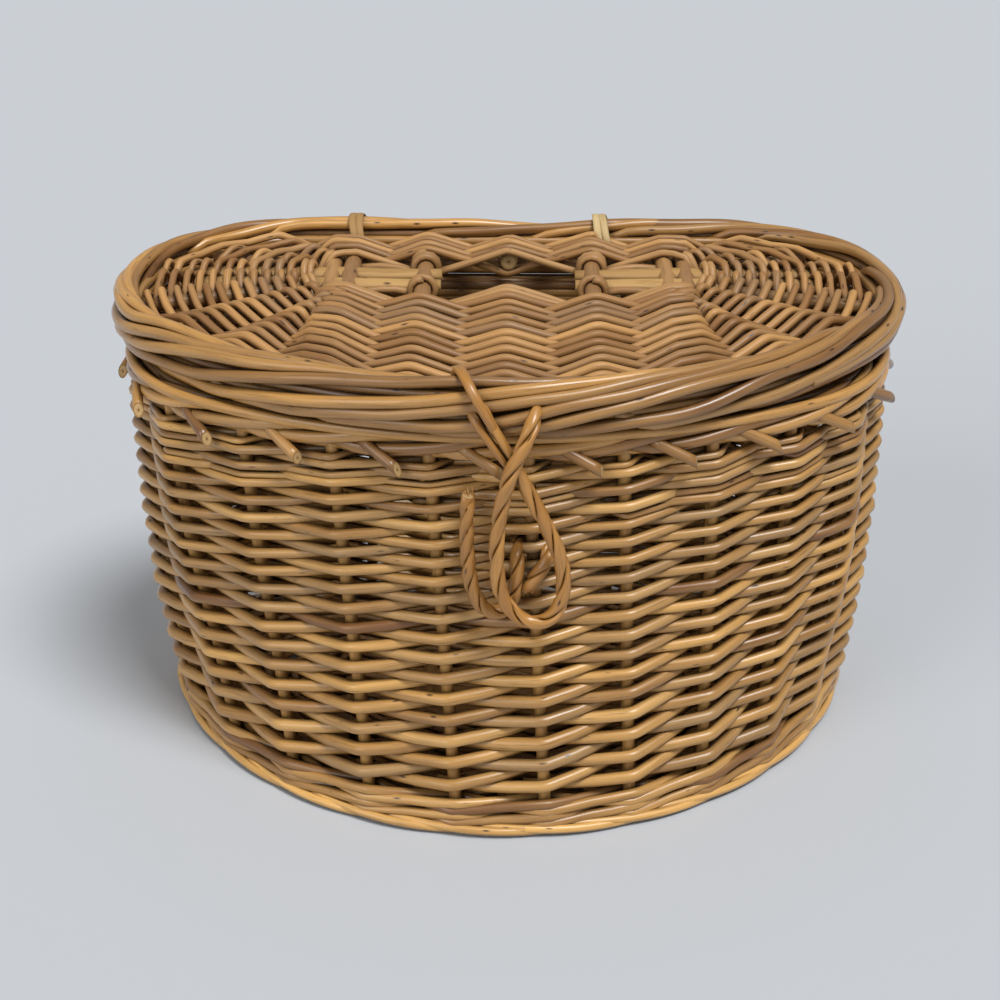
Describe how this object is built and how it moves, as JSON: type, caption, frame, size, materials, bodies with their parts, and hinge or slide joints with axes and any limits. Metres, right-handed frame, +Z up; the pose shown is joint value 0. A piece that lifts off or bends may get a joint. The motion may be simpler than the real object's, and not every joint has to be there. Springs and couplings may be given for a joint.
{
  "type": "wicker fishing creel",
  "caption": "D-shaped woven willow fishing creel with a flat hinged lid, a slot in the lid for the catch, and a twisted willow hasp and hook at the front.",
  "frame": {"origin": "middle of the base's underside, on the surface that the creel stands on", "axes": "+Z up, +X to the right seen from the front (the longest side), -Y towards the front with the hasp"},
  "size_m": [0.3744, 0.2384, 0.2348],
  "materials": {
    "willow_weave": "peeled and steamed willow rods, smooth, slightly shiny, woven close",
    "willow_lid_weave": "peeled willow rods, smooth and duller than the wall",
    "willow_border": "peeled willow rods, smooth, slightly shiny",
    "willow_stake": "peeled willow rods, smooth",
    "willow_stick": "thick peeled willow sticks, some split and pale inside",
    "willow_skein": "pale split willow skein, matt",
    "willow_rope": "two willow strands twisted together, fibres a little frayed"
  },
  "bodies": {
    "basket": {"base_cross_stick_1": "willow_stick", "base_cross_stick_2": "willow_stick", "base_cross_stick_3": "willow_stick", "base_cross_stick_4": "willow_stick", "base_cross_stick_5": "willow_stick", "base_long_stick_1": "willow_stick", "base_long_stick_2": "willow_stick", "base_long_stick_3": "willow_stick", "base_weave": "willow_weave", "body_border": "willow_border", "body_border_tails": "willow_border", "hinge_tie_left": "willow_skein", "hinge_tie_right": "willow_skein", "hook": "willow_rope", "stake_01": "willow_stake", "stake_02": "willow_stake", "stake_03": "willow_stake", "stake_04": "willow_stake", "stake_05": "willow_stake", "stake_06": "willow_stake", "stake_07": "willow_stake", "stake_08": "willow_stake", "stake_09": "willow_stake", "stake_10": "willow_stake", "stake_11": "willow_stake", "stake_12": "willow_stake", "stake_13": "willow_stake", "stake_14": "willow_stake", "stake_15": "willow_stake", "stake_16": "willow_stake", "stake_17": "willow_stake", "stake_18": "willow_stake", "stake_19": "willow_stake", "stake_20": "willow_stake", "stake_21": "willow_stake", "stake_22": "willow_stake", "upsett": "willow_weave", "wall_weave": "willow_weave"},
    "lid": {"lid_border": "willow_border", "lid_cross_stick_centre_back": "willow_stick", "lid_cross_stick_centre_front": "willow_stick", "lid_cross_stick_left_inner": "willow_stick", "lid_cross_stick_left_outer": "willow_stick", "lid_cross_stick_right_inner": "willow_stick", "lid_cross_stick_right_outer": "willow_stick", "lid_fan_sticks_left": "willow_stick", "lid_fan_sticks_right": "willow_stick", "lid_long_stick_left_back": "willow_stick", "lid_long_stick_left_front": "willow_stick", "lid_long_stick_right_back": "willow_stick", "lid_long_stick_right_front": "willow_stick", "lid_weave": "willow_lid_weave", "hasp_strand_on_lid": "willow_rope"},
    "hasp": {"hasp_loop": "willow_rope"}
  },
  "joints": [
    {"name": "lid_hinge", "type": "hinge", "parent": "basket", "child": "lid", "pos_m": [0, 0.1063, 0.21475], "axis": [-1, 0, 0], "range_deg": [0, 105]},
    {"name": "hasp_swing", "type": "hinge", "parent": "lid", "child": "hasp", "pos_m": [0, -0.10765, 0.2115], "axis": [-1, 0, 0], "range_deg": [0, 85]}
  ]
}
